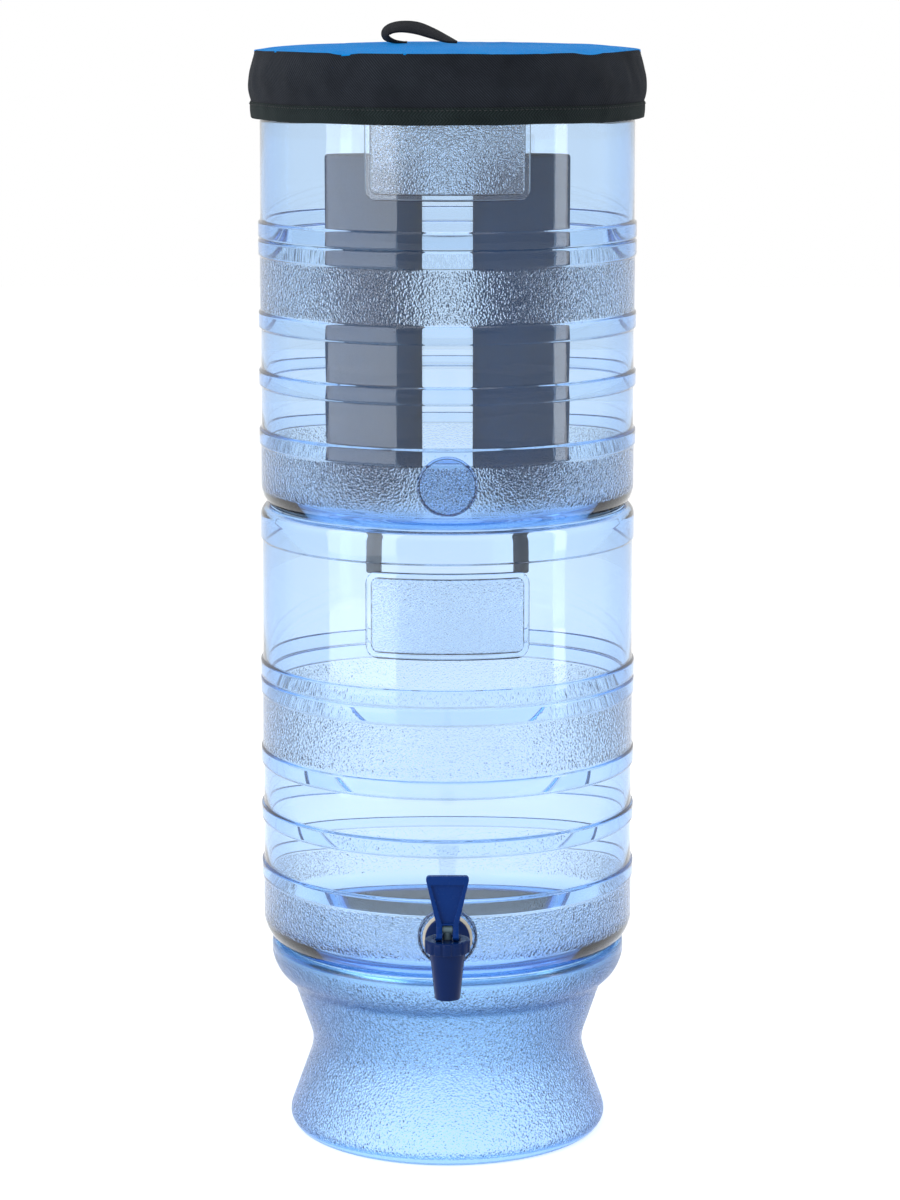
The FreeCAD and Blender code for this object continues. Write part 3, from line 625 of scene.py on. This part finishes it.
def cloth(name, colour, dark, weave, rough, sheen, depth=0.0002, chevron=0.0, gloss=0.3):
    """Woven cloth, whose colour is darker in the grooves of its weave as painted shade. weave is the
    spacing of its diagonal lines in metres; chevron is the height of the tape's zigzag rows, or 0 for plain
    twill."""
    material, tree, out = new_material(name)
    coords = make_node(tree, "ShaderNodeTexCoord")
    split = make_node(tree, "ShaderNodeSeparateXYZ", {0: coords.outputs["UV"]})
    along, up = split.outputs["X"], split.outputs["Y"]
    if chevron:
        up = maths(tree, "PINGPONG", up, chevron)
    diagonal = maths(tree, "MULTIPLY", maths(tree, "ADD", along, up), 2 * math.pi / weave)
    across = maths(tree, "MULTIPLY", maths(tree, "SUBTRACT", along, up), 4 * math.pi / weave)
    ribs = maths(tree, "SINE", diagonal)
    picks = maths(tree, "SINE", across)
    height = maths(tree, "MULTIPLY_ADD", picks, 0.35, ribs)
    place = coords.outputs["Object"]
    lint = noise_of(tree, place, 55.0, 5.0)
    # Colour darker in the weave's grooves and lighter on its ribs, following the bump's height: painted
    # shade, mixed with random lint tone.
    shade = ranged(tree, height, -1.3, 1.3)
    share = maths(tree, "MULTIPLY", maths(tree, "MULTIPLY", shade, lint), 1.7)
    creases = noise_of(tree, place, 38.0, 3.0)
    folds = make_node(tree, "ShaderNodeBump", {"Strength": 0.35, "Distance": 0.0016, "Height": creases})
    bump = make_node(
        tree,
        "ShaderNodeBump",
        {"Strength": 0.8, "Distance": depth, "Height": height, "Normal": folds.outputs["Normal"]},
    )
    body = make_node(
        tree,
        "ShaderNodeBsdfPrincipled",
        {
            "Base Color": blend_colours(tree, share, (*dark, 1), (*colour, 1)),
            "Roughness": rough,
            "Metallic": 0.0,
            "Specular IOR Level": gloss,
            "Sheen Weight": sheen,
            "Sheen Roughness": 0.4,
            "Normal": bump.outputs["Normal"],
        },
    )
    tree.links.new(body.outputs[0], out.inputs["Surface"])
    return material


blue_cloth = cloth(
    "blue_coated_cloth", (0.002, 0.31, 0.82), (0.001, 0.22, 0.7), 0.0007, 0.5, 0.0, 0.00006, gloss=0.02
)
twill = cloth("black_twill", (0.030, 0.036, 0.048), (0.006, 0.008, 0.012), 0.0018, 0.85, 0.05, gloss=0.08)
herringbone = cloth(
    "herringbone_tape", (0.026, 0.038, 0.040), (0.005, 0.009, 0.010), 0.0020, 0.85, 0.05,
    chevron=0.0026, gloss=0.08,
)
webbing = cloth(
    "black_webbing", (0.026, 0.028, 0.036), (0.005, 0.006, 0.009), 0.0012, 0.8, 0.05,
    chevron=0.0014, gloss=0.1,
)
thread = matte("black_thread", (0.010, 0.012, 0.015), (0.022, 0.025, 0.030), 400, 0.6, 0.00005)
elastic_cloth = cloth("black_elastic", (0.030, 0.031, 0.034), (0.010, 0.010, 0.012), 0.0010, 0.75, 0.2)
foam = matte("grey_foam", (0.52, 0.53, 0.55), (0.62, 0.63, 0.65), 160, 0.85, 0.0003)

top_rings = [i / 40 for i in range(0, 40)] + [0.985, 0.993, 1.0]
top_outline = [(SEAM_R * share, 0.0) for share in top_rings]
top_outline += [(SEAM_R * share, -CLOTH_T) for share in reversed(top_rings)]
top = lathe("lid_blue_top", top_outline, LID_STEPS, shape=top_point)
dress(top, blue_cloth)


def skirt_point(angle, r, z):
    """Black skirt: puffed out below the seam, dimpled where the seam gathers."""
    share = (z - HEM_TOP) / (FOAM_TOP - HEM_TOP)
    puff = share * (1 - share) * 4
    dimple = 1.1 * ripple(angle, 4.5, 5.0) + 0.7 * ripple(angle + 0.12 * share, 11.0, 8.0)
    crease = 0.6 * noise.noise(Vector((angle * 16, share * 2.5, 4.0)))
    reach = r + (dimple + crease) * puff * 0.8 + (seam_radius(angle) - SEAM_R) * share ** 4
    height = z + (seam_height(angle) - FOAM_TOP) * share ** 3
    return (reach * math.cos(angle), reach * math.sin(angle), height)


SKIRT_ROWS = 26
skirt_outer = []
for row in range(SKIRT_ROWS + 1):
    share = row / SKIRT_ROWS
    bulge = math.sin(math.pi * min(1.0, share * 1.08) ** 0.8)
    r = SKIRT_LOW_R * (1 - share) + SEAM_R * share + SKIRT_BULGE * max(0.0, bulge)
    skirt_outer.append((r, HEM_TOP - 0.5 + (FOAM_TOP - HEM_TOP + 0.5) * share))
skirt_inner = [(r - CLOTH_T, z) for r, z in reversed(skirt_outer)]
skirt = lathe("lid_black_skirt", skirt_outer + skirt_inner, LID_STEPS, closed=True, shape=skirt_point)
dress(skirt, twill)


def hem_point(angle, r, z):
    """The hem sways up and down and in and out, as the elastic gathers it."""
    sway = 0.5 * ripple(angle, 3.0, 9.0)
    reach = r + 0.35 * ripple(angle, 14.0, 6.0)
    return (reach * math.cos(angle), reach * math.sin(angle), z + sway)


hem_points = [
    (HEM_INNER_R, HEM_LOW + 0.6, 0.5), (120.4, HEM_LOW, 0.8), (121.9, HEM_LOW + 0.2, 0.9),
    (HEM_OUTER_R, HEM_LOW + 5.0, 2.0), (HEM_OUTER_R, HEM_TOP, 0.6), (121.2, HEM_TOP + 0.4, 0.5),
    (HEM_INNER_R, HEM_TOP, 0.5), (HEM_INNER_R, HEM_LOW + 0.6, 0.5),
]
hem = lathe("lid_bound_hem", rounded(hem_points)[:-1], LID_STEPS, closed=True, shape=hem_point)
dress(hem, herringbone)

ELASTIC_LOW, ELASTIC_HIGH = [corner.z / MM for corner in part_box("lid_elastic")]
ELASTIC_R = 118.0
ELASTIC_OUTER_R = 119.0
elastic_points = [
    (ELASTIC_R, ELASTIC_LOW, 0.2), (ELASTIC_OUTER_R, ELASTIC_LOW, 0.3),
    (ELASTIC_OUTER_R, ELASTIC_HIGH, 0.3), (ELASTIC_R, ELASTIC_HIGH, 0.3), (ELASTIC_R, ELASTIC_LOW, 0.2),
]
elastic = lathe("lid_elastic_tape", rounded(elastic_points)[:-1], LID_STEPS, closed=True)
dress(elastic, elastic_cloth)

FOAM_R = 115.4
foam_points = [(0, FOAM_LOW), (FOAM_R, FOAM_LOW, 1.2), (FOAM_R, FOAM_TOP, 1.2), (0, FOAM_TOP)]
foam_disc = lathe("lid_foam_disc", rounded(foam_points), 160)
dress(foam_disc, foam)


STITCH_HALF = (1.05, 0.28, 0.32)


def stitch_ring(name, count, place):
    """Row of short thread stitches. place(angle) gives a stitch's centre."""
    made = bmesh.new()
    for number in range(count):
        angle = 2 * math.pi * number / count
        along = Vector((-math.sin(angle), math.cos(angle), 0))
        turn = along.to_track_quat("X", "Z").to_matrix().to_4x4()
        size = Matrix.Diagonal((*[half * MM for half in STITCH_HALF], 1))
        matrix = Matrix.Translation(Vector(place(angle)) * MM) @ turn @ size
        bmesh.ops.create_icosphere(made, subdivisions=1, radius=1.0, matrix=matrix)
    return dress(finish_mesh(name, made), thread)


def hem_stitch(angle):
    """Place of a stitch near the hem's top edge."""
    return hem_point(angle, HEM_OUTER_R + 0.2, HEM_TOP - 1.3)


hem_stitches = stitch_ring("lid_hem_stitches", 240, hem_stitch)

# The pull loop: one strip of black webbing, bent over to the left and twisted a little
# towards the front, with both ends sewn flat on the blue top.

LOOP_HALF = 7.0
LOOP_THICK = 0.75
# Points of the strip's middle line: x, height over the top and twist.
LOOP_PATH = [
    (-25.0, 0.2, 0.0), (-32.5, 0.8, 0.10), (-37.6, 3.0, 0.25), (-38.2, 6.2, 0.35), (-34.8, 8.8, 0.40),
    (-28.0, 9.9, 0.45), (-19.0, 9.0, 0.50), (-10.0, 6.0, 0.42), (-1.0, 2.4, 0.25), (6.0, 0.3, 0.0),
]


def smooth_path(points, cuts):
    """Points on a smooth curve through the given ones."""
    path = []
    last = len(points) - 1
    for index in range(last):
        a, b, c, d = [Vector(points[min(max(index + k, 0), last)]) for k in (-1, 0, 1, 2)]
        for cut in range(cuts):
            t = cut / cuts
            bend = (2 * a - 5 * b + 4 * c - d) * t * t + (3 * b - a - 3 * c + d) * t ** 3
            path.append(0.5 * (2 * b + (c - a) * t + bend))
    path.append(Vector(points[-1]))
    return path


def pull_loop():
    """Strip of webbing that follows LOOP_PATH, with UVs in metres along and across it."""
    made = bmesh.new()
    uv = made.loops.layers.uv.new("cloth")
    base_z = FOAM_TOP + 4.6
    path = smooth_path(LOOP_PATH, 8)
    section = [
        (-1, -0.5), (-0.97, -0.9), (0.97, -0.9), (1, -0.5), (1, 0.5), (0.97, 0.9), (-0.97, 0.9), (-1, 0.5),
    ]
    rings = []
    run = 0.0
    for index, point in enumerate(path):
        before, after = path[max(index - 1, 0)], path[min(index + 1, len(path) - 1)]
        along = Vector((after.x - before.x, 0, after.y - before.y)).normalized()
        side = Matrix.Rotation(point.z, 3, along) @ Vector((0, 1, 0))
        normal = along.cross(side)
        centre = Vector((point.x, 1.0, base_z + point.y))
        ring = []
        for u, v in section:
            place = centre + side * (u * LOOP_HALF) + normal * (v * LOOP_THICK)
            ring.append((made.verts.new(place * MM), (run, (u + 1) * LOOP_HALF * MM)))
        rings.append(ring)
        run += ((after - before).length / 2) * MM
    count = len(section)
    for a, b in zip(rings, rings[1:]):
        for s in range(count):
            t = (s + 1) % count
            corners = [a[s], a[t], b[t], b[s]]
            face = made.faces.new([c[0] for c in corners])
            for loop, corner in zip(face.loops, corners):
                loop[uv].uv = corner[1]
    made.faces.new([v for v, place in rings[0]])
    made.faces.new([v for v, place in reversed(rings[-1])])
    return finish_mesh("lid_webbing_loop", made)


loop = dress(pull_loop(), webbing)

for piece, node, slot_name in (
    (top, "lid_top_panel", "blue_cloth"),
    (skirt, "lid_skirt", "black_cloth"),
    (hem, "lid_hem_binding", "black_cloth"),
    (elastic, "lid_elastic", "elastic"),
    (foam_disc, "lid_foam_insert", "foam"),
    (loop, "lid_pull_loop", "webbing"),
    (hem_stitches, None, "black_cloth"),
):
    if node:
        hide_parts(node)
    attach(piece, "lid")

# The studio: a white floor and surround, two tall softboxes whose reflections stand on the
# glossy walls, and a soft top light. The camera looks down a little from the front.

CAMERA_DISTANCE = 2.234
CAMERA_HEIGHT = 0.735
CAMERA_PITCH = 7.59
LENS = 107.6
SHIFT_DOWN = -0.13
SHIFT_SIDE = 0.0021

camera_data = bpy.data.cameras.new("camera")
camera_data.lens = LENS
camera_data.sensor_width = 36.0
camera_data.shift_y = SHIFT_DOWN
camera_data.shift_x = SHIFT_SIDE
camera = bpy.data.objects.new("camera", camera_data)
camera.location = (0, -CAMERA_DISTANCE, CAMERA_HEIGHT)
camera.rotation_euler = (math.radians(90 - CAMERA_PITCH), 0, 0)
bpy.context.scene.collection.objects.link(camera)
bpy.context.scene.camera = camera


def seen_rays(tree):
    """1 for the rays that show the background itself, straight, mirrored or through plastic."""
    rays = make_node(tree, "ShaderNodeLightPath").outputs
    seen = maths(tree, "MAXIMUM", rays["Is Camera Ray"], rays["Is Glossy Ray"])
    return maths(tree, "MAXIMUM", seen, rays["Is Transmission Ray"])


world = bpy.data.worlds.new("studio")
bpy.context.scene.world = world
world.use_nodes = True
tree = world.node_tree
tree.nodes.clear()
strength = ranged(tree, seen_rays(tree), 0.0, 1.0, 0.55, 1.0)
air = make_node(tree, "ShaderNodeBackground", {"Color": (1, 1, 1, 1), "Strength": strength})
world_out = tree.nodes.new("ShaderNodeOutputWorld")
tree.links.new(air.outputs[0], world_out.inputs["Surface"])


def softbox(name, place, aim, width, height, power):
    """Rectangular lamp at place, facing aim. Sizes are in metres and power in watts."""
    data = bpy.data.lights.new(name, "AREA")
    data.shape = "RECTANGLE"
    data.size = width
    data.size_y = height
    data.energy = power
    lamp = bpy.data.objects.new(name, data)
    lamp.location = place
    lamp.rotation_euler = (Vector(aim) - Vector(place)).to_track_quat("-Z", "Y").to_euler()
    bpy.context.scene.collection.objects.link(lamp)


softbox("left_softbox", (-1.36, -1.02, 0.7), (0, 0, 0.4), width=1.5, height=1.8, power=20)
softbox("right_softbox", (1.75, -0.6, 0.75), (0, 0, 0.4), width=0.3, height=1.5, power=5)
softbox("top_softbox", (0, -0.4, 2.2), (0, 0, 0.5), width=1.2, height=1.2, power=8)

floor_mesh = bmesh.new()
bmesh.ops.create_grid(floor_mesh, x_segments=1, y_segments=1, size=6.0)
floor = finish_mesh("studio_floor", floor_mesh, smooth=False)
material, tree, out = new_material("white_floor")
dull = make_node(tree, "ShaderNodeBsdfDiffuse", {"Color": (0.86, 0.87, 0.88, 1)}).outputs[0]
glow = make_node(tree, "ShaderNodeEmission", {"Color": (1, 1, 1, 1), "Strength": 0.62}).outputs[0]
lit = make_node(tree, "ShaderNodeAddShader", {0: dull, 1: glow}).outputs[0]
plain = make_node(tree, "ShaderNodeMixShader", {0: seen_rays(tree), 1: dull, 2: lit}).outputs[0]
tree.links.new(plain, out.inputs["Surface"])
dress(floor, material)

bpy.context.scene.view_settings.view_transform = "Standard"
